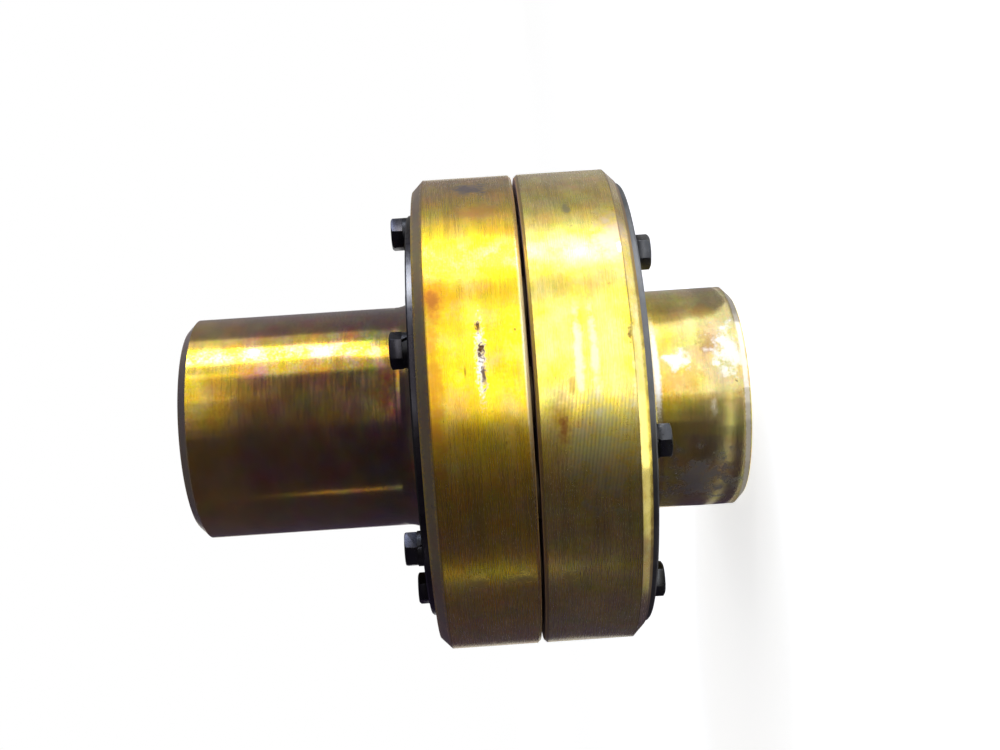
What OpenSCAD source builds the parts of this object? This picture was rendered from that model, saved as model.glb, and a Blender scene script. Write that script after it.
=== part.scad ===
// Elastic pin coupling: two flanged hubs joined by a ring of nylon pins, which plates hold in from both sides.
// It stands on the end of its short hub. The axis is +Z, and the origin is the centre of the end it stands on.

/* [Flanges] */
// Outside diameter of both flanges
flange_d = 160; // [154:1:190]
// Width of each flange along the axis
flange_w = 33; // [28:0.5:42]
// Gap between the two flanges when the pins touch both plates
flange_gap = 1.2; // [1:0.1:3]
// Chamfer on the rim of each flange, on the side of its hub
rim_chamfer = 3.6; // [1:0.1:5]
// Small chamfer on the rim of each flange, beside the gap
gap_edge_chamfer = 1; // [0.3:0.1:1.5]

/* [Hubs] */
// Outside diameter of both hubs
hub_d = 75; // [70:1:80]
// Length of the long half, flange and hub together
long_half_len = 112; // [80:1:160]
// Length of the short half, flange and hub together
short_half_len = 71; // [55:1:110]
// Chamfer on the outer corner of each hub's end
hub_end_chamfer = 3; // [0.5:0.1:4]
// Radius in the corner between a hub and its flange
hub_root_fillet = 9; // [4:0.5:9]

/* [Shaft bores] */
// Bore of the long half
long_bore_d = 45; // [36:1:48]
// Keyway width in the long half
long_key_w = 14; // [8:1:16]
// Keyway depth beyond the bore in the long half
long_key_depth = 3.8; // [2:0.1:5]
// Bore of the short half
short_bore_d = 38; // [28:1:48]
// Keyway width in the short half
short_key_w = 10; // [6:1:14]
// Keyway depth beyond the bore in the short half
short_key_depth = 3.3; // [2:0.1:5]
// Chamfer at both ends of each bore
bore_chamfer = 1.5; // [0.5:0.1:3]

/* [Elastic pins] */
// Number of pins, which is also twice the number of bolts on each side
pin_count = 12; // [8:2:12]
// Diameter of a pin
pin_d = 18; // [14:0.5:20]
// Diameter of the circle that the pins stand on
pin_circle_d = 115; // [110:1:118]
// Radial clearance of a pin in its hole
pin_play = 0.15; // [0.1:0.01:0.3]
// How much the radius of the barrel half falls towards its ends
pin_barrel_drop = 0.8; // [0.2:0.1:1.5]
// Chamfer on both ends of a pin
pin_end_chamfer = 1; // [0.3:0.1:2]
// Chamfer at both mouths of a pin hole
pin_hole_chamfer = 0.8; // [0.3:0.1:1.5]

/* [Retaining plates] */
// Outside diameter of the plate on the long side
long_plate_d = 137; // [134:1:142]
// Thickness of the plate on the long side
long_plate_t = 2.5; // [2:0.5:5]
// Outside diameter of the plate on the short side
short_plate_d = 150; // [140:1:152]
// Thickness of the plate on the short side
short_plate_t = 2; // [2:0.5:5]
// Chamfer on the outer edge of both plates
plate_chamfer = 0.5; // [0.2:0.1:1]
// Radial room between the root of a hub and its plate
plate_root_room = 1; // [0.5:0.5:3]

/* [Bolts and washers] */
// Diameter of the circle that the bolts stand on
bolt_circle_d = 125; // [122:1:127]
// Thread diameter of a bolt
bolt_d = 6; // [4:1:6]
// Length of a bolt under its head
bolt_len = 16; // [12:1:25]
// Width of a bolt head across its flats
bolt_head_w = 10; // [8:0.5:11]
// Height of a bolt head
bolt_head_h = 4; // [3:0.1:5]
// Radial clearance of a bolt in its plate
bolt_play = 0.3; // [0.1:0.05:0.6]
// Radial clearance of a bolt in its tapped hole
thread_play = 0.05; // [0.02:0.01:0.1]
// Run-out of a tapped hole below its bolt
thread_runout = 3; // [1:0.5:6]
// Outside diameter of a split washer
washer_d = 11; // [10:0.5:11.5]
// Thickness of a split washer
washer_t = 1.6; // [1:0.1:2.5]
// Width of the split in a washer
washer_split = 1; // [0.5:0.1:2]

/* [Places round the axis] */
// Angle of the first pin from +X
pin_phase = 3.5; // [0:0.5:30]

/* [Hidden] */
$fn = 96;
cut_over = 1;

flange_r = flange_d / 2;
hub_r = hub_d / 2;
plate_hole_r = hub_r + hub_root_fillet + plate_root_room;

// Heights of the faces above the end of the short hub
short_face_z = short_half_len;
short_back_z = short_face_z - flange_w;
long_face_z = short_face_z + flange_gap;
long_back_z = long_face_z + flange_w;

// A pin runs from plate to plate, and its plain half ends in the middle of the gap
pin_r = pin_d / 2;
pin_len = 2 * flange_w + flange_gap;
pin_plain_len = flange_w + flange_gap / 2;
pin_barrel_len = pin_len - pin_plain_len;
pin_barrel_curve = (pow(pin_barrel_len / 2, 2) + pow(pin_barrel_drop, 2)) / (2 * pin_barrel_drop);
pin_pitch = 360 / pin_count;

// Bolts stand midway between pins, one pin further round on the long side than on the short one
bolt_count = pin_count / 2;
bolt_pitch = 360 / bolt_count;
short_bolt_phase = pin_phase + pin_pitch / 2;
long_bolt_phase = short_bolt_phase + pin_pitch;
keyway_angle = short_bolt_phase;

// A hexagon head's corners, the flat circle on its top, and the slope that trims the corners
bolt_r = bolt_d / 2;
bolt_corner_r = bolt_head_w / 2 / cos(30);
bolt_top_r = 0.475 * bolt_head_w;
bolt_trim_slope = 30;
bolt_trim_h = (bolt_corner_r - bolt_top_r) * tan(bolt_trim_slope);
bolt_tip_chamfer = bolt_d / 8;
drill_point_angle = 59;

// How far each head is turned when its bolt is tight
bolt_turns = [12, 41, 3, 51, 14, 46];
// Slant of a washer's split against its axis
washer_split_slant = 25;

function two_digits(n) = str(n < 10 ? "0" : "", n);
function pin_name(i) = str("elastic_pin_", two_digits(i + 1));

// Copies its children to every place of a ring
module ring_of(count, circle_d, phase) {
    for (i = [0 : count - 1])
        rotate(phase + i * 360 / count)
            translate([circle_d / 2, 0, 0])
                children();
}

// Puts a half, modelled with its flange face at z = 0 and its hub upwards, above the gap
module on_long_side() {
    translate([0, 0, long_face_z]) children();
}

// Puts the same half, upside down, below the gap
module on_short_side() {
    translate([0, 0, short_face_z]) mirror([0, 0, 1]) children();
}

// Section of a half: flange, hub, the fillet between them, and the bore taken out
module half_section(half_len, bore_d) {
    bore_r = bore_d / 2;
    difference() {
        union() {
            polygon([
                [0, 0],
                [flange_r - gap_edge_chamfer, 0],
                [flange_r, gap_edge_chamfer],
                [flange_r, flange_w - rim_chamfer],
                [flange_r - rim_chamfer, flange_w],
                [0, flange_w]
            ]);
            polygon([
                [0, 0],
                [hub_r, 0],
                [hub_r, half_len - hub_end_chamfer],
                [hub_r - hub_end_chamfer, half_len],
                [0, half_len]
            ]);
            translate([hub_r, flange_w])
                difference() {
                    square(hub_root_fillet);
                    translate([hub_root_fillet, hub_root_fillet]) circle(hub_root_fillet);
                }
        }
        polygon([
            [0, 0],
            [bore_r + bore_chamfer, 0],
            [bore_r, bore_chamfer],
            [bore_r, half_len - bore_chamfer],
            [bore_r + bore_chamfer, half_len],
            [0, half_len]
        ]);
    }
}

// Through hole for a pin, with a chamfer at both mouths
module pin_hole() {
    hole_r = pin_r + pin_play;
    translate([0, 0, -cut_over]) cylinder(r = hole_r, h = flange_w + 2 * cut_over);
    cylinder(r1 = hole_r + pin_hole_chamfer, r2 = hole_r, h = pin_hole_chamfer);
    translate([0, 0, flange_w - pin_hole_chamfer])
        cylinder(r1 = hole_r, r2 = hole_r + pin_hole_chamfer, h = pin_hole_chamfer);
}

// Blind tapped hole for a bolt, down from the back of the flange to a drill point
module bolt_hole(plate_t) {
    hole_r = bolt_r + thread_play;
    point_h = hole_r / tan(drill_point_angle);
    hole_depth = bolt_len - plate_t - washer_t + thread_runout;
    translate([0, 0, flange_w - hole_depth]) {
        cylinder(r = hole_r, h = hole_depth + cut_over);
        translate([0, 0, -point_h]) cylinder(r1 = 0, r2 = hole_r, h = point_h);
    }
}

// Slot for the key along the whole bore
module keyway(half_len, bore_d, key_w, key_depth) {
    rotate(keyway_angle)
        translate([0, -key_w / 2, -cut_over])
            cube([bore_d / 2 + key_depth, key_w, half_len + 2 * cut_over]);
}

// One half coupling, turned from a single piece and then drilled
module half_coupling(half_len, bore_d, key_w, key_depth, plate_t, bolt_phase) {
    color("goldenrod")
        difference() {
            rotate_extrude() half_section(half_len, bore_d);
            keyway(half_len, bore_d, key_w, key_depth);
            ring_of(pin_count, pin_circle_d, pin_phase) pin_hole();
            ring_of(bolt_count, bolt_circle_d, bolt_phase) bolt_hole(plate_t);
        }
}

// Ring that closes the pin holes, with its bolt holes
module retaining_plate(plate_d, plate_t, bolt_phase) {
    plate_r = plate_d / 2;
    color("dimgray")
        translate([0, 0, flange_w])
            difference() {
                rotate_extrude()
                    polygon([
                        [plate_hole_r, 0],
                        [plate_r, 0],
                        [plate_r, plate_t - plate_chamfer],
                        [plate_r - plate_chamfer, plate_t],
                        [plate_hole_r, plate_t]
                    ]);
                ring_of(bolt_count, bolt_circle_d, bolt_phase)
                    translate([0, 0, -cut_over])
                        cylinder(r = bolt_r + bolt_play, h = plate_t + 2 * cut_over);
            }
}

// Section of a pin: a plain half below, and above it a half with a barrel's curve
module pin_section() {
    polygon([
        [0, 0],
        [pin_r - pin_end_chamfer, 0],
        [pin_r, pin_end_chamfer],
        [pin_r, pin_plain_len],
        [0, pin_plain_len]
    ]);
    intersection() {
        polygon([
            [0, pin_plain_len],
            [pin_r, pin_plain_len],
            [pin_r, pin_len - pin_end_chamfer],
            [pin_r - pin_barrel_drop - pin_end_chamfer, pin_len],
            [0, pin_len]
        ]);
        translate([pin_r - pin_barrel_curve, pin_plain_len + pin_barrel_len / 2])
            circle(pin_barrel_curve, $fn = 720);
    }
}

// One nylon pin, standing on the plate of the short side
module elastic_pin(i) {
    color("wheat")
        translate([0, 0, short_back_z])
            rotate(pin_phase + i * pin_pitch)
                translate([pin_circle_d / 2, 0, 0])
                    rotate_extrude() pin_section();
}

// Hexagon bolt with the underside of its head at z = 0
module hex_bolt(turn) {
    rotate(turn)
        intersection() {
            cylinder(r = bolt_corner_r, h = bolt_head_h, $fn = 6);
            rotate_extrude()
                polygon([
                    [0, 0],
                    [bolt_corner_r, 0],
                    [bolt_corner_r, bolt_head_h - bolt_trim_h],
                    [bolt_top_r, bolt_head_h],
                    [0, bolt_head_h]
                ]);
        }
    rotate_extrude()
        polygon([
            [0, -bolt_len],
            [bolt_r - bolt_tip_chamfer, -bolt_len],
            [bolt_r, -bolt_len + bolt_tip_chamfer],
            [bolt_r, 0],
            [0, 0]
        ]);
}

// Ring of tightened bolts on the back of a plate
module side_bolts(plate_t, bolt_phase) {
    color("dimgray")
        for (i = [0 : bolt_count - 1])
            rotate(bolt_phase + i * bolt_pitch)
                translate([bolt_circle_d / 2, 0, flange_w + plate_t + washer_t])
                    hex_bolt(bolt_turns[i]);
}

// Split spring washer, pressed flat
module split_washer() {
    difference() {
        rotate_extrude()
            translate([bolt_r + bolt_play, 0])
                square([washer_d / 2 - bolt_r - bolt_play, washer_t]);
        translate([bolt_r, 0, washer_t / 2])
            rotate([washer_split_slant, 0, 0])
                translate([-bolt_r, -washer_split / 2, -washer_d / 2])
                    cube([washer_d, washer_split, washer_d]);
    }
}

// Ring of washers between a plate and its bolts
module side_washers(plate_t, bolt_phase) {
    color("gray")
        for (i = [0 : bolt_count - 1])
            rotate(bolt_phase + i * bolt_pitch)
                translate([bolt_circle_d / 2, 0, flange_w + plate_t])
                    rotate(bolt_turns[i])
                        split_washer();
}

module long_half_coupling() {
    on_long_side()
        half_coupling(long_half_len, long_bore_d, long_key_w, long_key_depth,
                      long_plate_t, long_bolt_phase);
}

module short_half_coupling() {
    on_short_side()
        half_coupling(short_half_len, short_bore_d, short_key_w, short_key_depth,
                      short_plate_t, short_bolt_phase);
}

module long_side_plate() {
    on_long_side() retaining_plate(long_plate_d, long_plate_t, long_bolt_phase);
}

module short_side_plate() {
    on_short_side() retaining_plate(short_plate_d, short_plate_t, short_bolt_phase);
}

module long_side_bolts() {
    on_long_side() side_bolts(long_plate_t, long_bolt_phase);
}

module short_side_bolts() {
    on_short_side() side_bolts(short_plate_t, short_bolt_phase);
}

module long_side_washers() {
    on_long_side() side_washers(long_plate_t, long_bolt_phase);
}

module short_side_washers() {
    on_short_side() side_washers(short_plate_t, short_bolt_phase);
}

long_half_coupling();
short_half_coupling();
long_side_plate();
short_side_plate();
for (i = [0 : pin_count - 1])
    elastic_pin(i);
long_side_bolts();
short_side_bolts();
long_side_washers();
short_side_washers();
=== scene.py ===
import logging
import math
from dataclasses import dataclass, field
from enum import Enum
from typing import Callable, NamedTuple, Optional, Sequence, Union

import bpy
from mathutils import Matrix, Vector


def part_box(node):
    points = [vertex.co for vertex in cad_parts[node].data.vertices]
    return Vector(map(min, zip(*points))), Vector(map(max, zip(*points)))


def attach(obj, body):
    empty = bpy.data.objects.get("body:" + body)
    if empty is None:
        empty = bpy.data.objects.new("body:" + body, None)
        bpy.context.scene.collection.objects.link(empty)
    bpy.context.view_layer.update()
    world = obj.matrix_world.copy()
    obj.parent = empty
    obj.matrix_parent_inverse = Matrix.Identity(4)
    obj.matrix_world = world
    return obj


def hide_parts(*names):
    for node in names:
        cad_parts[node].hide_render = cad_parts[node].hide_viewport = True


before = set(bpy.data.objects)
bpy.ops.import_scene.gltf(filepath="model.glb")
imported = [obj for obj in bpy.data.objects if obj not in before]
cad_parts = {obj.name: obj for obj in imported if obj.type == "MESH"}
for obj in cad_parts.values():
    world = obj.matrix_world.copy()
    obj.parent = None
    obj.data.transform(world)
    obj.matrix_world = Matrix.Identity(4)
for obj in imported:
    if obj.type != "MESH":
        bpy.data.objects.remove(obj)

LOG = logging.getLogger("coupling")
MM = 0.001
OUTSIDE_R = 33 * MM
FLANGE_R = 80 * MM

Colour = tuple[float, float, float]
Pair = tuple[float, float]
Socket = bpy.types.NodeSocket
Feed = Union[Socket, float, Sequence[float]]
VALUE, VECTOR = "NodeSocketFloat", "NodeSocketVector"


def rgba(colour: Colour) -> tuple[float, float, float, float]:
    """Gives a colour its full alpha."""
    return (*colour, 1.0)


class Side(Enum):
    """The two halves of the coupling, by the length of their hubs."""

    LONG = "long"
    SHORT = "short"

    @property
    def body(self) -> str:
        """Name of the CAD body that the side's pieces ride on."""
        return f"{self.value}_side"


class Sheet:
    """A node tree with short calls to add nodes and wire them."""

    def __init__(self, tree: bpy.types.NodeTree) -> None:
        """Wraps a node tree.

        Args:
            tree: tree of a material, a world or a node group.
        """
        self.tree = tree

    def node(self, kind: str, inputs: Optional[dict[Union[str, int], Feed]] = None,
             **settings: object) -> bpy.types.Node:
        """Adds a node.

        Args:
            kind: the node's type name.
            inputs: what each input socket takes, either a value or another node's socket.
            settings: the node's own properties.

        Returns:
            The new node.
        """
        made = self.tree.nodes.new(kind)
        for name, value in settings.items():
            setattr(made, name, value)
        for key, value in (inputs or {}).items():
            self.feed(made.inputs[key], value)
        return made

    def feed(self, socket: Socket, value: Feed) -> None:
        """Sets a socket's value, or links it where another socket is given.

        Args:
            socket: input socket.
            value: number, colour, vector or output socket.
        """
        if isinstance(value, bpy.types.NodeSocket):
            self.tree.links.new(value, socket)
        else:
            socket.default_value = value

    def place(self, group: bpy.types.ShaderNodeTree, inputs: dict[str, Feed]) -> bpy.types.NodeOutputs:
        """Places a node group.

        Args:
            group: the group.
            inputs: what each of its inputs takes.

        Returns:
            The group's outputs.
        """
        return self.node("ShaderNodeGroup", inputs, node_tree=group).outputs

    def math(self, operation: str, first: Feed, second: Feed = 0.0, third: Feed = 0.0) -> Socket:
        """Adds a Math node.

        Args:
            operation: name of the operation.
            first: first operand.
            second: second operand.
            third: third operand, where the operation has one.

        Returns:
            The result.
        """
        return self.node("ShaderNodeMath", {0: first, 1: second, 2: third}, operation=operation).outputs[0]

    def mix(self, factor: Feed, first: Feed, second: Feed) -> Socket:
        """Mixes two colours.

        Args:
            factor: share of the second colour.
            first: colour at factor 0.
            second: colour at factor 1.

        Returns:
            The mixed colour.
        """
        return self.node("ShaderNodeMix", {0: factor, 6: first, 7: second}, data_type="RGBA").outputs[2]

    def blend(self, factor: Feed, first: Feed, second: Feed) -> Socket:
        """Mixes two values.

        Args:
            factor: share of the second value.
            first: value at factor 0.
            second: value at factor 1.

        Returns:
            The mixed value.
        """
        return self.node("ShaderNodeMix", {0: factor, 2: first, 3: second}, data_type="FLOAT").outputs[0]

    def span(self, value: Feed, low: float, high: float, out_low: float = 0.0,
             out_high: float = 1.0) -> Socket:
        """Maps a value smoothly from one range to another.

        Args:
            value: value to map.
            low: start of its range.
            high: end of its range.
            out_low: result at the start.
            out_high: result at the end.

        Returns:
            The mapped value.
        """
        made = self.node(
            "ShaderNodeMapRange",
            {"Value": value, "From Min": low, "From Max": high, "To Min": out_low, "To Max": out_high},
            interpolation_type="SMOOTHSTEP",
        )
        return made.outputs[0]

    def noise(self, place: Feed, scale: float, detail: float, rough: float = 0.5) -> Socket:
        """Adds a 3-D noise texture.

        Args:
            place: where the noise is read.
            scale: its scale.
            detail: how many finer layers it has.
            rough: how strong the finer layers are.

        Returns:
            The noise, from 0 to 1.
        """
        inputs = {"Vector": place, "Scale": scale, "Detail": detail, "Roughness": rough}
        return self.node("ShaderNodeTexNoise", inputs).outputs[0]

    def tinge(self, amount: float, colour: Feed, place: Feed, scale: float, detail: float) -> Socket:
        """Strays from a colour with a noise of all hues.

        Args:
            amount: how far it strays.
            colour: the colour.
            place: where the noise is read.
            scale: its scale.
            detail: how many finer layers it has.

        Returns:
            The colour with its stray hues.
        """
        hues = self.node("ShaderNodeTexNoise", {"Vector": place, "Scale": scale, "Detail": detail}).outputs[1]
        made = self.node("ShaderNodeMix", {0: amount, 6: colour, 7: hues}, data_type="RGBA",
                         blend_type="LINEAR_LIGHT", clamp_result=True)
        return made.outputs[2]


Wiring = Callable[[Sheet, bpy.types.NodeOutputs], dict[str, Socket]]


def node_group(name: str, inputs: dict[str, str], wire: Wiring) -> bpy.types.ShaderNodeTree:
    """Builds a shader node group whose outputs are all values.

    Args:
        name: the group's name.
        inputs: input names with their socket types.
        wire: function that wires the inside and returns what each output takes.

    Returns:
        The group.
    """
    tree = bpy.data.node_groups.new(name, "ShaderNodeTree")
    for label, kind in inputs.items():
        tree.interface.new_socket(label, in_out="INPUT", socket_type=kind)
    sheet = Sheet(tree)
    entry = tree.nodes.new("NodeGroupInput")
    made = wire(sheet, entry.outputs)
    for label in made:
        tree.interface.new_socket(label, in_out="OUTPUT", socket_type=VALUE)
    leave = tree.nodes.new("NodeGroupOutput")
    for label, socket in made.items():
        tree.links.new(socket, leave.inputs[label])
    return tree


def wire_lathe_place(sheet: Sheet, entry: bpy.types.NodeOutputs) -> dict[str, Socket]:
    """Wires a point's place as a lathe sees it: radius, angle and height.

    Args:
        sheet: inside of the group.
        entry: the group's inputs.

    Returns:
        The three values.
    """
    x, y, z = sheet.node("ShaderNodeSeparateXYZ", {0: entry["Vector"]}).outputs
    flat = sheet.node("ShaderNodeCombineXYZ", {0: x, 1: y}).outputs[0]
    radius = sheet.node("ShaderNodeVectorMath", {0: flat}, operation="LENGTH").outputs["Value"]
    return {"Radius": radius, "Turn": sheet.math("ARCTAN2", y, x), "Height": sheet.math("ADD", z, 0.0)}


def wire_turning(sheet: Sheet, entry: bpy.types.NodeOutputs) -> dict[str, Socket]:
    """Wires the marks that a lathe tool leaves round a surface.

    Args:
        sheet: inside of the group.
        entry: the group's inputs.

    Returns:
        Ridge height, fine streaks, and broad bands of a better or worse cut.
    """
    run = sheet.math("MULTIPLY_ADD", entry["Height"], 1.7, entry["Radius"])
    round_x = sheet.math("COSINE", entry["Turn"])
    round_y = sheet.math("SINE", entry["Turn"])

    def rings(pitch: Feed, wander: float, detail: float) -> Socket:
        """Noise in rings, which changes slowly on its way round."""
        along = sheet.math("DIVIDE", run, pitch)
        ahead = sheet.math("MULTIPLY", round_x, wander)
        aside = sheet.math("MULTIPLY", round_y, wander)
        place = sheet.node("ShaderNodeCombineXYZ", {0: ahead, 1: aside, 2: along}).outputs[0]
        return sheet.noise(place, 1.0, detail)

    fine = rings(entry["Feed"], 3.0, 2.0)
    streak = rings(sheet.math("MULTIPLY", entry["Feed"], 3.0), 5.0, 3.0)
    band = rings(sheet.math("MULTIPLY", entry["Feed"], 30.0), 2.5, 2.0)
    return {"Ridge": fine, "Streak": streak, "Band": band}


def wire_mottle(sheet: Sheet, entry: bpy.types.NodeOutputs) -> dict[str, Socket]:
    """Wires the uneven colour of a thin film or of blackened steel.

    Args:
        sheet: inside of the group.
        entry: the group's inputs.

    Returns:
        Broad clouds, warm and cool patches, fine grain, and scattered freckles.
    """
    place = entry["Vector"]
    cloud = sheet.span(sheet.noise(place, 55.0, 4.0, 0.6), 0.35, 0.70)
    warm = sheet.span(sheet.noise(place, 170.0, 3.0, 0.55), 0.36, 0.64)
    grain = sheet.noise(place, 950.0, 2.0, 0.6)
    freckle = sheet.span(sheet.noise(place, 520.0, 2.0, 0.5), 0.72, 0.80)
    return {"Cloud": cloud, "Warm": warm, "Grain": grain, "Freckle": freckle}


def wire_mark(sheet: Sheet, entry: bpy.types.NodeOutputs) -> dict[str, Socket]:
    """Wires the mask of one mark on a turned surface, an oval with a ragged edge.

    Args:
        sheet: inside of the group.
        entry: the group's inputs.

    Returns:
        The mask.
    """
    turn = sheet.math("WRAP", sheet.math("SUBTRACT", entry["Turn"], entry["At"]), math.pi, -math.pi)
    across = sheet.math("DIVIDE", sheet.math("MULTIPLY", turn, entry["Radius"]), entry["Arc"])
    along = sheet.math("DIVIDE", sheet.math("SUBTRACT", entry["Height"], entry["Level"]), entry["Rise"])
    far = sheet.math("SQRT", sheet.math("MULTIPLY_ADD", across, across, sheet.math("MULTIPLY", along, along)))
    ragged = sheet.math("MULTIPLY", sheet.math("SUBTRACT", entry["Ragged"], 0.5), entry["Breakup"])
    inside = sheet.span(sheet.math("ADD", far, ragged), 1.35, 0.2)
    outer = sheet.math("GREATER_THAN", entry["Radius"], OUTSIDE_R)
    return {"Mask": sheet.math("MULTIPLY", inside, outer)}


def wire_ring(sheet: Sheet, entry: bpy.types.NodeOutputs) -> dict[str, Socket]:
    """Wires the mask of wear or painted shade along one turned edge.

    Args:
        sheet: inside of the group.
        entry: the group's inputs.

    Returns:
        The mask.
    """
    out = sheet.math("SUBTRACT", entry["Radius"], entry["Ring"])
    up = sheet.math("SUBTRACT", entry["Height"], entry["Level"])
    gap = sheet.math("SQRT", sheet.math("MULTIPLY_ADD", out, out, sheet.math("MULTIPLY", up, up)))
    ragged = sheet.math("MULTIPLY", sheet.math("SUBTRACT", entry["Ragged"], 0.5), entry["Breakup"])
    far = sheet.math("ADD", sheet.math("DIVIDE", gap, entry["Width"]), ragged)
    return {"Mask": sheet.span(far, 1.0, 0.5)}


@dataclass
class Effects:
    """The node groups that the finishes share."""

    lathe_place: bpy.types.ShaderNodeTree = field(init=False)
    turning: bpy.types.ShaderNodeTree = field(init=False)
    mottle: bpy.types.ShaderNodeTree = field(init=False)
    mark: bpy.types.ShaderNodeTree = field(init=False)
    ring: bpy.types.ShaderNodeTree = field(init=False)

    def __post_init__(self) -> None:
        """Builds the groups."""
        def values(*names: str) -> dict[str, str]:
            """Value sockets of these names."""
            return {name: VALUE for name in names}

        self.lathe_place = node_group("lathe_place", {"Vector": VECTOR}, wire_lathe_place)
        self.turning = node_group("turning_marks", values("Radius", "Turn", "Height", "Feed"), wire_turning)
        self.mottle = node_group("film_mottle", {"Vector": VECTOR}, wire_mottle)
        mark = values("Radius", "Turn", "Height", "Ragged", "At", "Level", "Arc", "Rise", "Breakup")
        self.mark = node_group("mark_mask", mark, wire_mark)
        ring = values("Radius", "Height", "Ragged", "Ring", "Level", "Width", "Breakup")
        self.ring = node_group("ring_mask", ring, wire_ring)


class Look(NamedTuple):
    """Colour, roughness, share of metal and clear film of a surface."""

    colour: Feed
    roughness: Feed
    metal: Feed
    coat: Feed


class Tint(Enum):
    """What a mark on a steel surface is, or the light or shade that it paints."""

    AMBER = Look((0.62, 0.22, 0.01), 0.36, 1.0, 0.2)
    PINK = Look((0.52, 0.38, 0.31), 0.42, 1.0, 0.2)
    GREY = Look((0.42, 0.43, 0.44), 0.42, 1.0, 0.2)
    RUST = Look((0.27, 0.075, 0.006), 0.5, 0.9, 0.0)
    # a real dark stain in marks, and painted shade in the rings on the long half's chamfers
    SOOT = Look((0.11, 0.10, 0.10), 0.36, 1.0, 0.1)
    BARE = Look((0.92, 0.90, 0.84), 0.40, 1.0, 0.2)
    CHIP = Look((0.09, 0.032, 0.005), 0.45, 1.0, 0.0)
    # painted highlight: a pale dull stripe that stands in for the light a rounded edge would catch
    SCUFF = Look((1.0, 0.93, 0.66), 0.4, 1.0, 0.0)
    # painted shade and reflection: dark gold at edges beside the gap and the plate
    BRONZE = Look((0.22, 0.12, 0.006), 0.4, 1.0, 0.0)
    POLISH = Look((0.95, 0.78, 0.10), 0.11, 1.0, 0.2)
    # painted shade: a dull dark brown without gloss that stands in for the shade deep in the gap between the
    # halves
    GRIME = Look((0.20, 0.085, 0.008), 1.0, 0.0, 0.0)


@dataclass(frozen=True)
class Mark:
    """A stain, chip, worn patch or painted highlight.

    Attributes:
        tint: what it is.
        at: angle of its middle, in degrees from +X.
        level: height of its middle, in millimetres.
        arc: half its reach round the surface, in millimetres.
        rise: half its reach along the axis, in millimetres.
        strength: how much of it shows.
        breakup: how ragged it is.
        fine: whether its ragged edge is fine.
    """

    tint: Tint
    at: float
    level: float
    arc: float
    rise: float
    strength: float = 0.8
    breakup: float = 3.4
    fine: bool = False


@dataclass(frozen=True)
class Ring:
    """Wear, dirt or painted shade along a turned edge.

    Attributes:
        tint: what it is.
        radius: radius of the edge, in millimetres.
        level: height of the edge, in millimetres.
        width: half its reach, in millimetres.
        strength: how much of it shows.
        breakup: how ragged it is.
    """

    tint: Tint
    radius: float
    level: float
    width: float
    strength: float = 0.7
    breakup: float = 1.0


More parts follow.
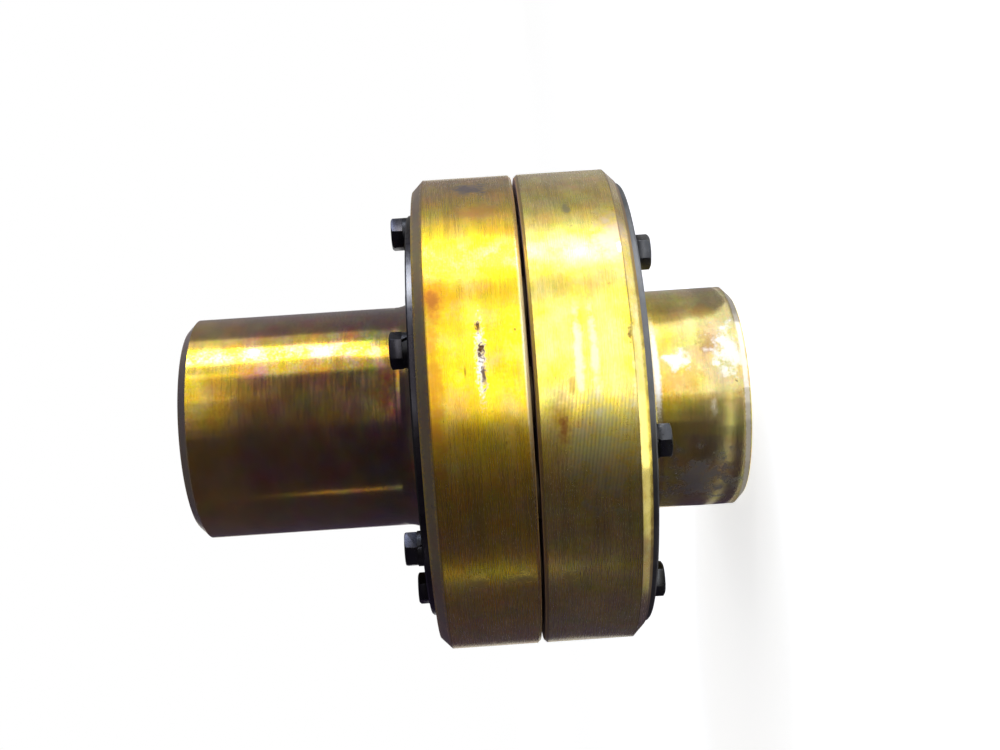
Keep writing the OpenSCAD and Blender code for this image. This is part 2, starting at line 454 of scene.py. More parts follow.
class Canvas:
    """A new material with its shader and the values that every finish starts from."""

    def __init__(self, name: str, effects: Effects, feed: float) -> None:
        """Makes the material and places the shared groups.

        Args:
            name: name of the material.
            effects: the shared node groups.
            feed: pitch of the lathe marks.
        """
        self.material = bpy.data.materials.new(name)
        self.material.use_nodes = True
        self.effects = effects
        self.sheet = Sheet(self.material.node_tree)
        self.shader = self.material.node_tree.nodes["Principled BSDF"]
        self.place = self.sheet.node("ShaderNodeTexCoord").outputs["Object"]
        lathe = self.sheet.place(effects.lathe_place, {"Vector": self.place})
        self.cut = {label: lathe[label] for label in ("Radius", "Turn", "Height")}
        self.turning = self.sheet.place(effects.turning, {**self.cut, "Feed": feed})
        self.mottle = self.sheet.place(effects.mottle, {"Vector": self.place})
        self.coarse = self.sheet.noise(self.place, 260.0, 5.0, 0.65)
        self.fine = self.sheet.noise(self.place, 1100.0, 3.0, 0.6)

    def mark_mask(self, mark: Mark) -> Socket:
        """Places one mark.

        Args:
            mark: the mark.

        Returns:
            Its mask.
        """
        outputs = self.sheet.place(self.effects.mark, {
            **self.cut,
            "Ragged": self.fine if mark.fine else self.coarse,
            "At": math.radians(mark.at), "Level": mark.level * MM,
            "Arc": mark.arc * MM, "Rise": mark.rise * MM, "Breakup": mark.breakup,
        })
        return self.sheet.math("MULTIPLY", outputs["Mask"], mark.strength)

    def ring_mask(self, ring: Ring) -> Socket:
        """Places wear or painted shade along one edge.

        Args:
            ring: the wear or shade.

        Returns:
            Its mask.
        """
        outputs = self.sheet.place(self.effects.ring, {
            "Radius": self.cut["Radius"], "Height": self.cut["Height"], "Ragged": self.fine,
            "Ring": ring.radius * MM, "Level": ring.level * MM,
            "Width": ring.width * MM, "Breakup": ring.breakup,
        })
        return self.sheet.math("MULTIPLY", outputs["Mask"], ring.strength)

    def lay_marks(self, look: Look, marks: Sequence[Mark], rings: Sequence[Ring]) -> Look:
        """Lays marks, edge wear, and painted light and shade over a finish, one tint after the other.

        Args:
            look: the finish.
            marks: its marks.
            rings: its edge wear and painted edge shade.

        Returns:
            The finish with the marks.
        """
        sheet = self.sheet
        for tint in Tint:
            masks = [self.mark_mask(m) for m in marks if m.tint is tint]
            masks += [self.ring_mask(r) for r in rings if r.tint is tint]
            if not masks:
                continue
            top = masks[0]
            for other in masks[1:]:
                top = sheet.math("MAXIMUM", top, other)
            look = self.cover(look, top, tint)
        return look

    def cover(self, look: Look, mask: Feed, tint: Tint) -> Look:
        """Covers part of a finish with one tint.

        Args:
            look: the finish.
            mask: how much of the tint shows.
            tint: what covers it.

        Returns:
            The finish with the tint.
        """
        over, sheet = tint.value, self.sheet
        return Look(
            sheet.mix(mask, look.colour, rgba(over.colour)),
            sheet.blend(mask, look.roughness, over.roughness),
            sheet.blend(mask, look.metal, over.metal),
            sheet.blend(mask, look.coat, over.coat),
        )

    def finish(self, look: Look, height: Feed, depth: float) -> bpy.types.Material:
        """Wires the shader.

        Args:
            look: the finish.
            height: height of the surface's relief, from 0 to 1.
            depth: how deep the relief is, in metres.

        Returns:
            The material.
        """
        bump = self.sheet.node("ShaderNodeBump", {"Height": height, "Strength": 1.0, "Distance": depth})
        self.sheet.feed(self.shader.inputs["Base Color"], look.colour)
        self.sheet.feed(self.shader.inputs["Roughness"], look.roughness)
        self.sheet.feed(self.shader.inputs["Metallic"], look.metal)
        self.sheet.feed(self.shader.inputs["Coat Weight"], look.coat)
        self.sheet.feed(self.shader.inputs["Normal"], bump.outputs[0])
        return self.material

    def brushed(self, amount: float) -> None:
        """Stretches highlights across the lathe marks.

        Args:
            amount: strength of the stretch.
        """
        tangent = self.sheet.node("ShaderNodeTangent", direction_type="RADIAL", axis="Z")
        self.shader.inputs["Anisotropic"].default_value = amount
        self.shader.inputs["Anisotropic Rotation"].default_value = 0.25
        self.sheet.feed(self.shader.inputs["Tangent"], tangent.outputs[0])


@dataclass(frozen=True)
class FilmedSteel:
    """Turned steel under a thin rust-preventing film.

    Attributes:
        name: name of the material.
        hub: colour of the film on the hub.
        hub_end: its colour near the hub's end.
        hub_root_shade: its colour on a long hub near the flange, a darker film with painted shade where the
            flange and plate shade the hub.
        flange: colour of the film on the flange.
        end_level: height of the hub's end, in millimetres.
        bore_r: radius of the bore, which is bare, in millimetres.
        marks: stains, chips, worn patches and a painted highlight.
        rings: wear along the edges, and painted shade on some of them.
        chatter: where the tool has chattered.
        feed: pitch of the lathe marks.
        brown, olive: colours that the film strays to.
        bare: colour of the steel in the bore.
        gap_level: height of the gap between the halves, which is painted dark as shade, in millimetres.
    """

    name: str
    hub: Colour
    hub_end: Colour
    flange: Colour
    end_level: float
    bore_r: float
    marks: tuple[Mark, ...] = ()
    rings: tuple[Ring, ...] = ()
    chatter: Optional[Mark] = None
    feed: float = 0.35 * MM
    brown: Colour = (0.42, 0.17, 0.02)
    olive: Colour = (0.42, 0.40, 0.03)
    hub_root_shade: Colour = (0.20, 0.10, 0.02)
    bare: Colour = (0.58, 0.56, 0.53)
    gap_level: float = 71.6

    def material(self, effects: Effects) -> bpy.types.Material:
        """Builds the material.

        Args:
            effects: the shared node groups.

        Returns:
            The material.
        """
        canvas = Canvas(self.name, effects, self.feed)
        sheet, mottle = canvas.sheet, canvas.mottle
        tone, relief = self.tone(canvas), canvas.turning["Ridge"]
        if self.chatter is not None:
            wave = self.chatter_wave(canvas)
            relief = sheet.math("MULTIPLY_ADD", wave, 1.2, relief)
            tone = sheet.math("MULTIPLY_ADD", wave, 0.17, tone)
        film = self.film(canvas)
        film = sheet.node("ShaderNodeVectorMath", {0: film, 3: tone}, operation="SCALE").outputs[0]
        film = sheet.mix(sheet.math("MULTIPLY", mottle["Freckle"], 0.55), film, rgba(Tint.CHIP.value.colour))
        in_bore = sheet.span(canvas.cut["Radius"], (self.bore_r + 2.0) * MM, (self.bore_r + 1.4) * MM)
        film = sheet.mix(in_bore, film, rgba(self.bare))
        on_flange = sheet.span(canvas.cut["Radius"], 45 * MM, 60 * MM, 0.0, 0.115)
        rough = sheet.math("ADD", sheet.span(canvas.turning["Streak"], 0.25, 0.75, 0.14, 0.18), on_flange)
        coat = sheet.math("MULTIPLY_ADD", mottle["Cloud"], -0.2, 0.32)
        look = canvas.lay_marks(Look(film, rough, 1.0, coat), self.marks, self.rings)
        # paints shade into the gap between the halves
        in_gap = sheet.span(self.distance(canvas, self.gap_level), 0.85 * MM, 0.62 * MM)
        look = canvas.cover(look, in_gap, Tint.GRIME)
        canvas.shader.inputs["Coat Roughness"].default_value = 0.16
        canvas.shader.inputs["Sheen Weight"].default_value = 0.12
        canvas.shader.inputs["Sheen Roughness"].default_value = 0.7
        canvas.shader.inputs["Sheen Tint"].default_value = (0.92, 0.78, 1.0, 1.0)
        canvas.brushed(0.12)
        return canvas.finish(look, relief, 0.003 * MM)

    def distance(self, canvas: Canvas, level: float) -> Socket:
        """Wires the distance along the axis from a height.

        Args:
            canvas: the material.
            level: the height, in millimetres.

        Returns:
            The distance, in metres.
        """
        sheet = canvas.sheet
        return sheet.math("ABSOLUTE", sheet.math("SUBTRACT", canvas.cut["Height"], level * MM))

    def film(self, canvas: Canvas) -> Socket:
        """Wires the film's colour, from the hub's end to the flange.

        Args:
            canvas: the material.

        Returns:
            The colour.
        """
        sheet, mottle, streak = canvas.sheet, canvas.mottle, canvas.turning["Streak"]
        from_end = self.distance(canvas, self.end_level)
        hub = sheet.mix(sheet.span(from_end, 30 * MM, 6 * MM), rgba(self.hub), rgba(self.hub_end))
        # darker film and painted shade: the long hub darkens towards the flange
        hub = sheet.mix(sheet.span(from_end, 40 * MM, 68 * MM), hub, rgba(self.hub_root_shade))
        film = sheet.mix(sheet.span(canvas.cut["Radius"], 39 * MM, 45 * MM), hub, rgba(self.flange))
        film = sheet.mix(sheet.math("MULTIPLY", mottle["Cloud"], 0.26), film, rgba(self.brown))
        film = sheet.mix(sheet.math("MULTIPLY", mottle["Warm"], 0.20), film, rgba(self.olive))
        film = sheet.tinge(0.18, film, canvas.place, 130.0, 3.0)
        film = sheet.tinge(0.07, film, canvas.place, 1300.0, 1.0)
        return sheet.mix(sheet.span(streak, 0.5, 0.8, 0.0, 0.35), film, rgba(self.brown))

    def tone(self, canvas: Canvas) -> Socket:
        """Wires how light or dark the film is along the lathe marks.

        Args:
            canvas: the material.

        Returns:
            A factor for the colour.
        """
        sheet, turning = canvas.sheet, canvas.turning
        streak = sheet.span(turning["Streak"], 0.3, 0.7, -0.10, 0.08)
        band = sheet.span(turning["Band"], 0.3, 0.7, 0.86, 1.06)
        tone = sheet.math("SUBTRACT", sheet.math("ADD", streak, band), 0.08)
        return sheet.math("MULTIPLY_ADD", canvas.mottle["Grain"], 0.16, tone)

    def chatter_wave(self, canvas: Canvas) -> Socket:
        """Wires the slanting waves that a chattering tool leaves.

        Args:
            canvas: the material.

        Returns:
            The waves, from -1 to 1, where the tool has chattered.
        """
        sheet = canvas.sheet
        arc = sheet.math("MULTIPLY", canvas.cut["Turn"], FLANGE_R)
        slant = sheet.math("MULTIPLY_ADD", arc, 0.16, canvas.cut["Height"])
        wave = sheet.math("SINE", sheet.math("MULTIPLY", slant, math.tau / (1.1 * MM)))
        return sheet.math("MULTIPLY", canvas.mark_mask(self.chatter), wave)


@dataclass(frozen=True)
class BlackSteel:
    """Blackened steel with worn edges.

    Attributes:
        name: name of the material.
        colour: colour of the blackening.
        worn: colour where it is rubbed.
        roughness: middle roughness.
        rings: wear along turned edges.
        marks: worn patches.
    """

    name: str
    colour: Colour
    worn: Colour
    roughness: float
    rings: tuple[Ring, ...] = ()
    marks: tuple[Mark, ...] = ()

    def material(self, effects: Effects) -> bpy.types.Material:
        """Builds the material.

        Args:
            effects: the shared node groups.

        Returns:
            The material.
        """
        canvas = Canvas(self.name, effects, 0.5 * MM)
        sheet, mottle = canvas.sheet, canvas.mottle
        colour = sheet.mix(sheet.math("MULTIPLY", mottle["Cloud"], 0.5), rgba(self.colour), rgba(self.worn))
        freckle = sheet.math("MULTIPLY", mottle["Freckle"], 0.4)
        colour = sheet.mix(freckle, colour, rgba(Tint.RUST.value.colour))
        rough = sheet.math("MULTIPLY_ADD", mottle["Grain"], 0.2, self.roughness - 0.1)
        look = canvas.lay_marks(Look(colour, rough, 0.9, 0.0), self.marks, self.rings)
        grain = sheet.math("MULTIPLY", mottle["Grain"], 0.6)
        relief = sheet.math("MULTIPLY_ADD", canvas.turning["Ridge"], 0.6, grain)
        return canvas.finish(look, relief, 0.01 * MM)


@dataclass(frozen=True)
class TurnedNylon:
    """Turned nylon, dark as painted shade for pins that sit deep in the gap, and darker still in patches."""

    name: str = "turned_nylon"
    # painted shade: both colours are darkened for pins deep in the gap
    colour: Colour = (0.20, 0.13, 0.06)
    deep_shade: Colour = (0.08, 0.05, 0.025)

    def material(self, effects: Effects) -> bpy.types.Material:
        """Builds the material.

        Args:
            effects: the shared node groups.

        Returns:
            The material.
        """
        canvas = Canvas(self.name, effects, 0.4 * MM)
        sheet, mottle = canvas.sheet, canvas.mottle
        colour = sheet.mix(mottle["Cloud"], rgba(self.colour), rgba(self.deep_shade))
        rough = sheet.math("MULTIPLY_ADD", mottle["Grain"], 0.2, 0.4)
        return canvas.finish(Look(colour, rough, 0.0, 0.0), mottle["Grain"], 0.02 * MM)


def dress(node: str, material: bpy.types.Material) -> None:
    """Gives a CAD node one material.

    Args:
        node: the node's name.
        material: its material.
    """
    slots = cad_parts[node].data.materials
    slots.clear()
    slots.append(material)
    LOG.info("dressed %s", node)


LONG_FILM = FilmedSteel(
    name="amber_film",
    hub=(0.44, 0.23, 0.03),
    hub_end=(0.86, 0.55, 0.04),
    flange=(0.93, 0.61, 0.012),
    end_level=184.2,
    bore_r=22.5,
    marks=(
        Mark(Tint.BARE, -79.5, 86.0, 11.0, 1.3, 1.0, 3.6, True),
        Mark(Tint.CHIP, -72.3, 86.3, 1.6, 0.9, 1.0, 3.6, True),
        Mark(Tint.CHIP, -77.4, 85.9, 2.8, 1.1, 1.0, 4.2, True),
        Mark(Tint.CHIP, -82.5, 85.4, 3.6, 0.7, 0.9, 4.2, True),
        # painted highlight along the long flange's edge at the gap
        Mark(Tint.SCUFF, -78.0, 72.75, 44.0, 0.9, 0.85, 0.8, True),
        Mark(Tint.SOOT, -27.1, 86.0, 6.0, 6.0, 0.85),
        Mark(Tint.POLISH, -129.6, 77.5, 2.4, 4.5, 0.85, 2.0),
        Mark(Tint.POLISH, -129.6, 91.5, 2.4, 3.5, 0.6, 3.0),
        Mark(Tint.RUST, -65.6, 99.1, 3.6, 2.0, 0.65),
        Mark(Tint.AMBER, -66.0, 98.9, 7.0, 3.4, 0.8),
        Mark(Tint.AMBER, -86.0, 99.9, 24.0, 2.4, 0.6),
        Mark(Tint.AMBER, -38.9, 84.1, 5.0, 6.0, 0.5),
        Mark(Tint.CHIP, -81.8, 90.7, 1.6, 0.35, 0.6, 0.8, True),
        Mark(Tint.CHIP, -73.3, 75.5, 0.6, 0.5, 0.6, 0.8, True),
    ),
    rings=(
        Ring(Tint.CHIP, 80.0, 101.6, 0.5, 0.5),
        # painted shade on the flange's and the hub end's chamfers, which face away from the light
        Ring(Tint.SOOT, 78.2, 103.4, 2.4, 0.6),
        Ring(Tint.SOOT, 36.0, 182.7, 2.4, 0.7),
    ),
)

SHORT_FILM = FilmedSteel(
    name="straw_film",
    hub=(0.86, 0.68, 0.13),
    hub_end=(0.84, 0.72, 0.30),
    flange=(0.90, 0.73, 0.14),
    end_level=0.0,
    bore_r=19.0,
    marks=(
        Mark(Tint.RUST, -95.1, 63.4, 5.0, 2.0, 0.9, 2.5),
        Mark(Tint.RUST, -92.4, 64.4, 6.0, 3.4, 0.35),
        Mark(Tint.BARE, -54.5, 42.3, 2.2, 0.7, 1.0, 1.6, True),
        Mark(Tint.POLISH, -129.6, 63.5, 2.4, 2.0, 0.4, 3.0),
        Mark(Tint.POLISH, -97.0, 39.9, 40.0, 2.4, 0.8, 1.5),
        Mark(Tint.PINK, -50.6, 44.6, 10.0, 5.0, 0.7),
        Mark(Tint.SOOT, -40.9, 56.6, 3.4, 1.2, 0.6),
        Mark(Tint.GREY, -101.0, 52.5, 15.0, 9.0, 0.35, 4.5),
        Mark(Tint.BARE, -79.0, 57.7, 14.0, 1.2, 0.4),
        Mark(Tint.BARE, -79.0, 53.0, 14.0, 1.2, 0.35),
        Mark(Tint.BARE, -93.0, 39.9, 34.0, 2.2, 0.6),
        Mark(Tint.CHIP, -75.6, 42.2, 3.2, 0.7, 0.8, 3.0, True),
        Mark(Tint.RUST, -85.9, 60.2, 2.6, 1.2, 0.35),
        Mark(Tint.BARE, -71.7, 23.2, 3.0, 4.4, 0.9, 4.0),
        Mark(Tint.BARE, -68.0, 6.0, 8.0, 5.5, 0.8, 5.0),
        Mark(Tint.RUST, -62.0, 12.0, 5.0, 4.0, 0.45, 4.5),
        Mark(Tint.AMBER, -80.0, 22.0, 6.0, 10.0, 0.4, 4.5),
        Mark(Tint.GREY, -136.6, 18.6, 12.0, 12.0, 0.7, 4.0),
        Mark(Tint.BARE, -94.7, 12.7, 3.0, 1.2, 0.45),
        Mark(Tint.BARE, -76.0, 30.2, 20.0, 1.3, 1.0, 0.8, True),
        Mark(Tint.AMBER, -41.0, 12.9, 4.0, 4.4, 0.5),
    ),
    rings=(
        Ring(Tint.CHIP, 80.0, 41.6, 0.35, 0.6),
        # painted shade on the short flange's edge at the gap
        Ring(Tint.BRONZE, 79.5, 70.5, 0.9, 0.75, 0.6),
        Ring(Tint.BARE, 36.0, 1.5, 1.8, 0.85, 0.6),
        # painted reflection in shade: a dark gold line where the plate meets the flange's back
        Ring(Tint.BRONZE, 76.4, 38.0, 1.9, 0.9, 0.5),
    ),
    chatter=Mark(Tint.GREY, -94.0, 55.0, 24.0, 15.0, 1.0, 1.8),
)

# lit and shaded copies of one blackened steel: the long side's plate is darker as painted shade, the short
# side's paler as painted light
SHADED_PLATE_STEEL = BlackSteel("plate_painted_shade", (0.030, 0.027, 0.033), (0.09, 0.088, 0.10), 0.30,
                              marks=(Mark(Tint.GREY, -52.0, 106.5, 14.0, 4.0, 0.35, 1.5),))
LIT_PLATE_STEEL = BlackSteel("plate_painted_light", (0.13, 0.134, 0.14), (0.26, 0.27, 0.28), 0.46)
# lit and shaded copies of one blackened bolt steel: darker on the long side as painted shade, greyer on the
# short side as painted light
SHADED_BOLT_STEEL = BlackSteel("bolt_painted_shade", (0.030, 0.029, 0.036), (0.09, 0.09, 0.10), 0.30)
LIT_BOLT_STEEL = BlackSteel("bolt_painted_light", (0.052, 0.054, 0.060), (0.16, 0.168, 0.178), 0.30)
WASHER_STEEL = BlackSteel("black_washer", (0.022, 0.022, 0.024), (0.06, 0.06, 0.062), 0.4)


@dataclass
class HexBolts:
    """The six hexagon bolts of one side, with eased edges.

    Attributes:
        side: the side that they hold a plate on.
        phase: angle of the first bolt, in degrees from +X.
        count: number of bolts.
        circle_r: radius of the circle that they stand on.
        head_w: width of a head across its flats.
        head_h: height of a head.
        shank_r: radius of a shank.
        shank_len: length of a shank.
        ease: width of the eased edges.
        turns: how far each head is turned, in degrees.
    """

    side: Side
    phase: float
    count: int = 6
    circle_r: float = 62.5 * MM
    head_w: float = 10.0 * MM
    head_h: float = 4.0 * MM
    shank_r: float = 3.0 * MM
    shank_len: float = 16.0 * MM
    ease: float = 0.18 * MM
    turns: tuple[int, ...] = (12, 41, 3, 51, 14, 46)

    @property
    def node(self) -> str:
        """CAD node that these bolts stand for."""
        return f"{self.side.value}_side_bolts"

    def build(self, material: bpy.types.Material) -> None:
        """Models one bolt, copies it round the circle and dresses the ring.

        Args:
            material: the finish.
        """
        pattern = self.model()
        low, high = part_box(self.node)
        seat = high.z - self.head_h if self.side is Side.LONG else low.z + self.head_h
        flip = Matrix.Identity(4) if self.side is Side.LONG else Matrix.Rotation(math.pi, 4, "X")
        copies = []
        for i in range(self.count):
            copy = pattern.copy()
            copy.data = pattern.data.copy()
            bpy.context.scene.collection.objects.link(copy)
            ring = Matrix.Rotation(math.radians(self.phase + i * 360 / self.count), 4, "Z")
            turn = Matrix.Rotation(math.radians(self.turns[i]), 4, "Z")
            on_circle = ring @ Matrix.Translation((self.circle_r, 0, 0)) @ turn @ flip
            copy.data.transform(Matrix.Translation((0, 0, seat)) @ on_circle)
            copies.append(copy)
        bpy.data.objects.remove(pattern)
        bpy.ops.object.select_all(action="DESELECT")
        for copy in copies:
            copy.select_set(True)
        bpy.context.view_layer.objects.active = copies[0]
        bpy.ops.object.join()
        made = bpy.context.active_object
        made.name = made.data.name = f"{self.side.value}_hexagon_bolts"
        made.data.materials.clear()
        made.data.materials.append(material)
        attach(made, self.side.body)
        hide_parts(self.node)
        LOG.info("built %s", made.name)

    def model(self) -> bpy.types.Object:
        """Models one bolt with its seat at the origin and its head upwards.

        Returns:
            The bolt.
        """
        corner_r = self.head_w / 2 / math.cos(math.radians(30))
        spare = 1 * MM
        blank_h = self.head_h + spare
        slope = 1 / math.tan(math.radians(30))
        top_r = 0.475 * self.head_w
        bpy.ops.mesh.primitive_cylinder_add(
            vertices=6, radius=corner_r, depth=blank_h,
            location=(0, 0, blank_h / 2), rotation=(0, 0, math.radians(30)))
        head = bpy.context.active_object
        bpy.ops.object.transform_apply(location=True, rotation=True, scale=True)
        bpy.ops.mesh.primitive_cone_add(
            vertices=96, radius1=top_r + blank_h * slope, radius2=top_r, depth=blank_h,
            location=(0, 0, (self.head_h - spare) / 2))
        self.cut(head, bpy.context.active_object, "INTERSECT")
        self.bevel(head, self.ease, 2)
        bpy.ops.mesh.primitive_cylinder_add(
            vertices=48, radius=self.shank_r, depth=self.shank_len + spare,
            location=(0, 0, (spare - self.shank_len) / 2))
        shank = bpy.context.active_object
        bpy.ops.object.transform_apply(location=True, rotation=True, scale=True)
        self.bevel(shank, self.shank_r / 4, 1)
        self.cut(head, shank, "UNION")
        bpy.ops.object.shade_smooth_by_angle(angle=math.radians(25))
        return head

    def cut(self, body: bpy.types.Object, tool: bpy.types.Object, operation: str) -> None:
        """Applies a boolean and removes its tool.

        Args:
            body: object that stays.
            tool: object that is used up.
            operation: name of the operation.
        """
        change = body.modifiers.new("cut", "BOOLEAN")
        change.operation = operation
        change.object = tool
        self.apply(body, change)
        bpy.data.objects.remove(tool)

    def bevel(self, body: bpy.types.Object, width: float, segments: int) -> None:
        """Eases the sharp edges of an object.

        Args:
            body: the object.
            width: width of the bevel.
            segments: its steps.
        """
        change = body.modifiers.new("ease", "BEVEL")
        change.width = width
        change.segments = segments
        change.limit_method = "ANGLE"
        change.angle_limit = math.radians(20)
        self.apply(body, change)

    def apply(self, body: bpy.types.Object, change: bpy.types.Modifier) -> None:
        """Applies a modifier."""
        bpy.ops.object.select_all(action="DESELECT")
        body.select_set(True)
        bpy.context.view_layer.objects.active = body
        bpy.ops.object.modifier_apply(modifier=change.name)


@dataclass
class PhotoCamera:
    """Camera at the photograph's place, with the coupling's axis across the picture.

    Attributes:
        distance: from the axis, along Y.
        height: above the end that the coupling stands on.
        lens: focal length for a sensor 36 mm wide.
        yaw, pitch, roll: small turns in degrees from the square view.
    """

    distance: float = 469.2 * MM
    height: float = 85.4 * MM
    lens: float = 48.743
    yaw: float = -0.686
    pitch: float = 1.457
    roll: float = -3.795

    def build(self) -> None:
        """Adds the camera and makes it the scene's own."""
        data = bpy.data.cameras.new("photo_camera")
        data.sensor_width = 36.0
        data.lens = self.lens
        data.clip_start = 0.01
        camera = bpy.data.objects.new("photo_camera", data)
        bpy.context.scene.collection.objects.link(camera)
        square = Matrix(((0, 1, 0), (0, 0, -1), (-1, 0, 0)))
        turns = [Matrix.Rotation(math.radians(a), 3, axis) for a, axis in
                 ((self.yaw, "Y"), (self.pitch, "X"), (self.roll, "Z"))]
        turned = square @ turns[0] @ turns[1] @ turns[2]
        camera.matrix_world = Matrix.Translation((0, -self.distance, self.height)) @ turned.to_4x4()
        bpy.context.scene.camera = camera


@dataclass
class Studio:
    """Pale floor, white surround, soft lamps, and dark cloths that the metal mirrors.

    Bearings are in degrees round Z, from -Y, where the camera stands, towards +X.

    Attributes:
        floor_half: half the floor's width.
        hub_foot: radius at which the floor's cloths start under the hub's end.
        cloth_near: radius at which the other cloths of the floor start.
        cloth_r: radius at which cloths hang.
        cloth_h: height of their top.
        cloth_hem: height up to which their lower part hangs.
        cloth_lift: height of the cloths on the floor.
        dusk: tone of the darkest cloths.
        shade: tone of the cloths at the side.
        cool: colour of the higher lamps at the side.
        window_reach: distance of the windows from the axis.
        window_height: height of the middle of the upper window.
    """

    floor_half: float = 10.0
    hub_foot: float = 0.0347
    cloth_near: float = 0.05
    cloth_r: float = 1.4
    cloth_h: float = 1.6
    cloth_hem: float = 0.2
    cloth_lift: float = 0.0004
    dusk: Colour = (0.042, 0.031, 0.062)
    shade: Colour = (0.19, 0.184, 0.177)
    cool: Colour = (0.88, 1.0, 1.3)
    window_reach: float = 0.86
    window_height: float = 0.415

    def build(self) -> None:
        """Builds the floor, the world, the cloths and the lamps."""
        self.world()
        self.floor()
        self.hang_cloths()
        self.lay_cloths()
        self.set_lamps()

    def hang_cloths(self) -> None:
        """Hangs the cloths round the coupling and over it."""
        out, top = self.cloth_r, self.cloth_h
        low = ((out, 0), (out, self.cloth_hem))
        high = ((out, self.cloth_hem), (out, top))
        self.cloth("front_cloth", *low, -153, -25, self.dusk)
        self.cloth("front_hem", *low, -25, 88, (0.125, 0.10, 0.10))
        self.cloth("high_front_cloth", *high, -164, 88, self.dusk)
        self.cloth("side_cloth", *low, 88, 157, self.shade)
        self.cloth("high_side_cloth", *high, 88, 168, self.shade)
        self.cloth("top_cloth", (0.0, top), (out, top), -180, 180, (0.07, 0.068, 0.065))

    def lay_cloths(self) -> None:
        """Lays the cloths on the floor, paler towards the camera's upper side."""
        near, far, lift = self.cloth_near, self.cloth_r, self.cloth_lift
        under, over = 0.25 * lift, 1.5 * lift
        wide, narrow = ((near, lift), (far, lift)), ((0.18, over), (0.36, over))
        hub_end = ((self.hub_foot, under), (near, under))
        self.cloth("floor_cloth", *wide, -150, -34, self.dusk)
        self.hems("floor_hem", *wide, (1.0, 0.9, 0.74), (
            (-34, -21, 0.08), (-21, -14, 0.15), (-14, -8, 0.22), (-8, -2.5, 0.33), (-2.5, 2.5, 0.7)))
        self.hems("pale_hem", *narrow, (1.0, 0.92, 0.7), (
            (-150, -22, 0.075), (-22, -12, 0.3), (-12, -2.5, 0.55)))
        self.cloth("foot_cloth", (0.075, over), (0.092, over), -150, -56, (0.36, 0.35, 0.335))
        self.cloth("instep_cloth", (0.0725, over), (0.0815, over), -56, -24, (0.75, 0.73, 0.69))
        self.cloth("toe_cloth", (0.0715, over), (0.0785, over), -24, 2.5, (2.0, 1.94, 1.86))
        self.hems("hub_hem", *hub_end, (1.0, 0.95, 0.86), (
            (-158, -40, 0.27), (-40, -14, 0.34), (-14, -5, 0.48), (-5, 3, 0.72),
            (43, 50, 0.6), (50, 168, 0.36)))
        self.cloth("side_foot_cloth", (near, lift), (0.10, lift), 74, 160, (0.26, 0.252, 0.242))
        self.cloth("side_floor_hem", (0.10, lift), (far, lift), 78, 90, (0.62, 0.60, 0.58))
        self.cloth("side_floor_cloth", (0.10, lift), (far, lift), 90, 160, (0.38, 0.37, 0.353))
        self.cloth("pale_card", (0.34, lift), (far, lift), 3, 46, (1.6, 1.55, 1.49))

    def set_lamps(self) -> None:
        """Sets the key lamps at the side, the windows in front and a thin strip below."""
        reach, height = self.window_reach, self.window_height
        self.lamp("key_strip", 68.5, 0.36, 0.08, (0.075, 0.14), 8.0)
        self.lamp("high_key", 75, 0.36, 0.3475, (0.105, 0.395), 9.0, self.cool)
        self.lamp("key_glow", 74, 0.42, 0.08, (0.34, 0.14), 0.45)
        self.lamp("high_glow", 76, 0.42, 0.3475, (0.38, 0.395), 1.0, self.cool)
        self.lamp("key_foot", 57, 0.42, 0.19, (0.11, 0.08), 0.9, self.cool)
        self.lamp("front_window", 24, reach, 0.058, (0.83, 0.115), 3.6)
        self.lamp("upper_window", 42, reach, height, (0.46, 0.14), 1.9)
        for bearing, bright in ((22.5, 0.95), (13.5, 0.6), (4.5, 0.3), (-4.5, 0.11)):
            self.lamp(f"window_fade_{bearing}", bearing, reach, height, (0.135, 0.14), bright)
        self.lamp("low_strip", -77, 0.80, 0.14, (0.010, 0.22), 3.8)

    def floor(self) -> None:
        """Lays the floor, which is white where it is seen and keeps the shadow."""
        bpy.ops.mesh.primitive_plane_add(size=2 * self.floor_half)
        floor = bpy.context.active_object
        floor.name = "floor"
        made = bpy.data.materials.new("floor_paper")
        made.use_nodes = True
        sheet = Sheet(made.node_tree)
        shader = made.node_tree.nodes["Principled BSDF"]
        shader.inputs["Base Color"].default_value = (0.8, 0.8, 0.8, 1)
        shader.inputs["Roughness"].default_value = 0.9
        shader.inputs["Specular IOR Level"].default_value = 0.1
        shader.inputs["Emission Color"].default_value = (1, 1, 1, 1)
        sheet.feed(shader.inputs["Emission Strength"], sheet.math("MULTIPLY", self.seen(sheet), 0.7))
        floor.data.materials.append(made)

    def seen(self, sheet: Sheet) -> Socket:
        """Adds a value that is 1 for rays from the camera, from gloss and through glass.

        Args:
            sheet: node tree.

        Returns:
            The value.
        """
        path = sheet.node("ShaderNodeLightPath").outputs
        both = sheet.math("MAXIMUM", path["Is Camera Ray"], path["Is Glossy Ray"])
        return sheet.math("MAXIMUM", both, path["Is Transmission Ray"])

    def world(self) -> None:
        """Sets the surround: white where it is seen, dimmer where it lights."""
        world = bpy.data.worlds.new("surround")
        bpy.context.scene.world = world
        world.use_nodes = True
        sheet = Sheet(world.node_tree)
        strength = sheet.math("MULTIPLY_ADD", self.seen(sheet), 0.65, 0.35)
        sheet.feed(world.node_tree.nodes["Background"].inputs["Color"], (1, 1, 1, 1))
        sheet.feed(world.node_tree.nodes["Background"].inputs["Strength"], strength)

    def hems(self, name: str, first: Pair, last: Pair, hue: Colour,
             steps: Sequence[tuple[float, float, float]]) -> None:
        """Lays cloths side by side, each of its own grey.

        Args:
            name: how their names start.
            first: radius and height of one hem.
            last: radius and height of the other hem.
            hue: colour that tints the greys.
            steps: bearings of each cloth's ends, and its grey.
        """
        for start, end, grey in steps:
            self.cloth(f"{name}_{start}", first, last, start, end, tuple(part * grey for part in hue))

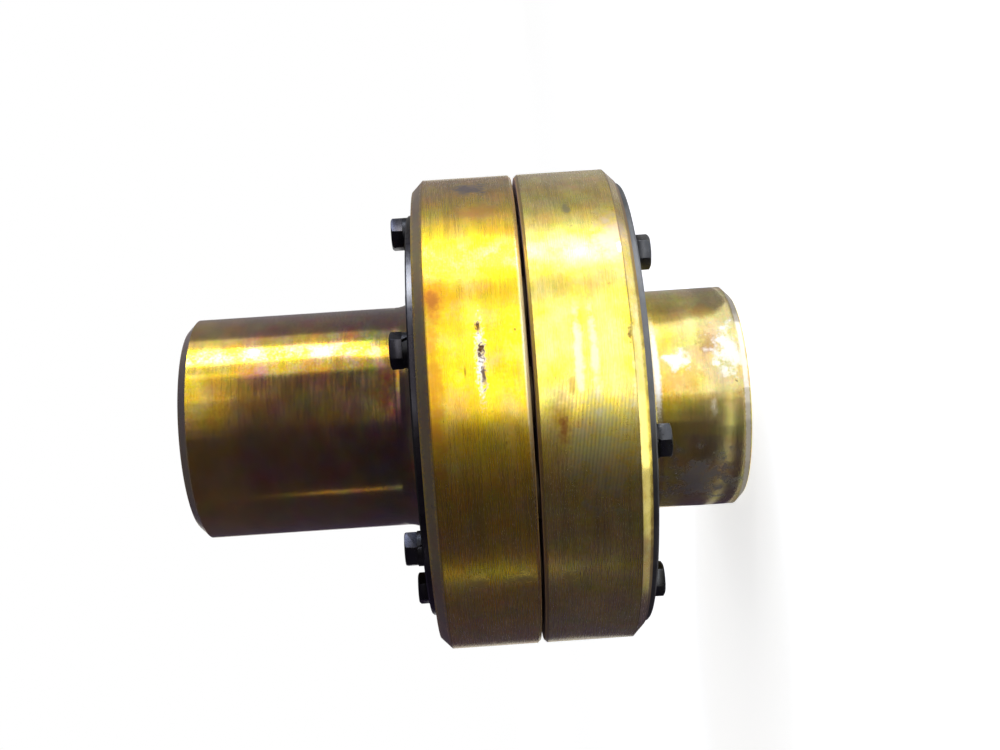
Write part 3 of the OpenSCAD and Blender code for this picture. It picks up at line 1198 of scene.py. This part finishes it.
    def cloth(self, name: str, first: Pair, last: Pair, start: float, end: float, tone: Colour) -> None:
        """Hangs or lays a dark cloth, which only gloss shows.

        Args:
            name: the cloth's name.
            first: radius and height of one hem.
            last: radius and height of the other hem.
            start: bearing of one end.
            end: bearing of the other end.
            tone: the light that it gives.
        """
        edge = bpy.data.meshes.new(name)
        edge.from_pydata([(0, -first[0], first[1]), (0, -last[0], last[1])], [(0, 1)], [])
        cloth = bpy.data.objects.new(name, edge)
        bpy.context.scene.collection.objects.link(cloth)
        edge.transform(Matrix.Rotation(math.radians(start), 4, "Z"))
        bpy.ops.object.select_all(action="DESELECT")
        cloth.select_set(True)
        bpy.context.view_layer.objects.active = cloth
        bpy.ops.object.mode_set(mode="EDIT")
        bpy.ops.mesh.select_all(action="SELECT")
        bpy.ops.mesh.spin(steps=48, angle=math.radians(end - start), center=(0, 0, 0), axis=(0, 0, -1))
        bpy.ops.object.mode_set(mode="OBJECT")
        made = bpy.data.materials.new(name)
        made.use_nodes = True
        shader = made.node_tree.nodes["Principled BSDF"]
        shader.inputs["Base Color"].default_value = (0, 0, 0, 1)
        shader.inputs["Specular IOR Level"].default_value = 0.0
        shader.inputs["Emission Color"].default_value = rgba(tone)
        shader.inputs["Emission Strength"].default_value = 1.0
        cloth.data.materials.append(made)
        cloth.visible_camera = cloth.visible_diffuse = cloth.visible_shadow = False
        cloth.visible_transmission = False

    def lamp(self, name: str, bearing: float, reach: float, height: float, size: Pair, bright: float,
             colour: Colour = (1.0, 1.0, 1.0)) -> None:
        """Adds a soft upright lamp that faces the axis.

        Args:
            name: the lamp's name.
            bearing: where it stands.
            reach: distance from the axis.
            height: height of its middle.
            size: its width and height.
            bright: how bright its face is, where 1 is white.
            colour: colour of its light.
        """
        data = bpy.data.lights.new(name, "AREA")
        data.shape = "RECTANGLE"
        data.size, data.size_y = size
        data.energy = bright * math.pi * size[0] * size[1]
        data.color = colour
        lamp = bpy.data.objects.new(name, data)
        bpy.context.scene.collection.objects.link(lamp)
        turn = math.radians(bearing)
        out = Vector((math.sin(turn), -math.cos(turn), 0))
        facing = (-out).to_track_quat("-Z", "Y").to_matrix().to_4x4()
        lamp.matrix_world = Matrix.Translation(out * reach + Vector((0, 0, height))) @ facing
        lamp.visible_camera = False


def main() -> None:
    """Builds the coupling's looks, the studio and the camera."""
    logging.basicConfig(level=logging.INFO, format="%(message)s")
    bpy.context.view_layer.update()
    bpy.ops.object.select_all(action="DESELECT")
    effects = Effects()
    dress("long_half_coupling", LONG_FILM.material(effects))
    dress("short_half_coupling", SHORT_FILM.material(effects))
    washer = WASHER_STEEL.material(effects)
    # the long side takes the painted-shade copies of plate and bolt steel, the short side the painted-light
    # copies
    for side, phase, plate, bolt in (
        (Side.LONG, 48.5, SHADED_PLATE_STEEL, SHADED_BOLT_STEEL),
        (Side.SHORT, 18.5, LIT_PLATE_STEEL, LIT_BOLT_STEEL),
    ):
        dress(f"{side.value}_side_plate", plate.material(effects))
        dress(f"{side.value}_side_washers", washer)
        HexBolts(side, phase).build(bolt.material(effects))
    nylon = TurnedNylon().material(effects)
    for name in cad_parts:
        if name.startswith("elastic_pin"):
            dress(name, nylon)
    PhotoCamera().build()
    Studio().build()
    bpy.context.scene.view_settings.view_transform = "Standard"


if __name__ == "__main__":
    main()
